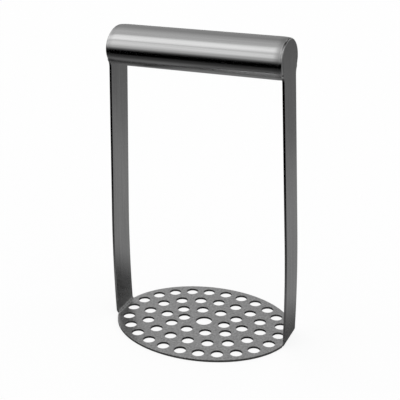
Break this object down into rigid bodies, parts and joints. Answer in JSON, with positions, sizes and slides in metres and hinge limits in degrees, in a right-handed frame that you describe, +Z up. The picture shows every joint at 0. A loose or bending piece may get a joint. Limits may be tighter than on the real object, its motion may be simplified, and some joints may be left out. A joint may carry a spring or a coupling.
{
  "type": "potato masher",
  "caption": "Rigid potato masher: perforated oval plate with two flat arms bent up from it, joined at the top by an oval handle tube.",
  "frame": {"origin": "middle of the pressing plate's underside", "axes": "+Z up from the pressing plate to the handle, X along the handle from arm to arm, Y front to back"},
  "size_m": [0.1232, 0.0958, 0.2004],
  "materials": {
    "sheet_steel": "fine satin, stainless sheet",
    "tube_steel": "brushed lengthwise, stainless tube",
    "weld_steel": "weld ground flush and brushed over"
  },
  "bodies": {
    "root": {"frame": "sheet_steel", "handle_tube": "tube_steel", "left_seam": "weld_steel", "right_seam": "weld_steel"}
  },
  "joints": []
}
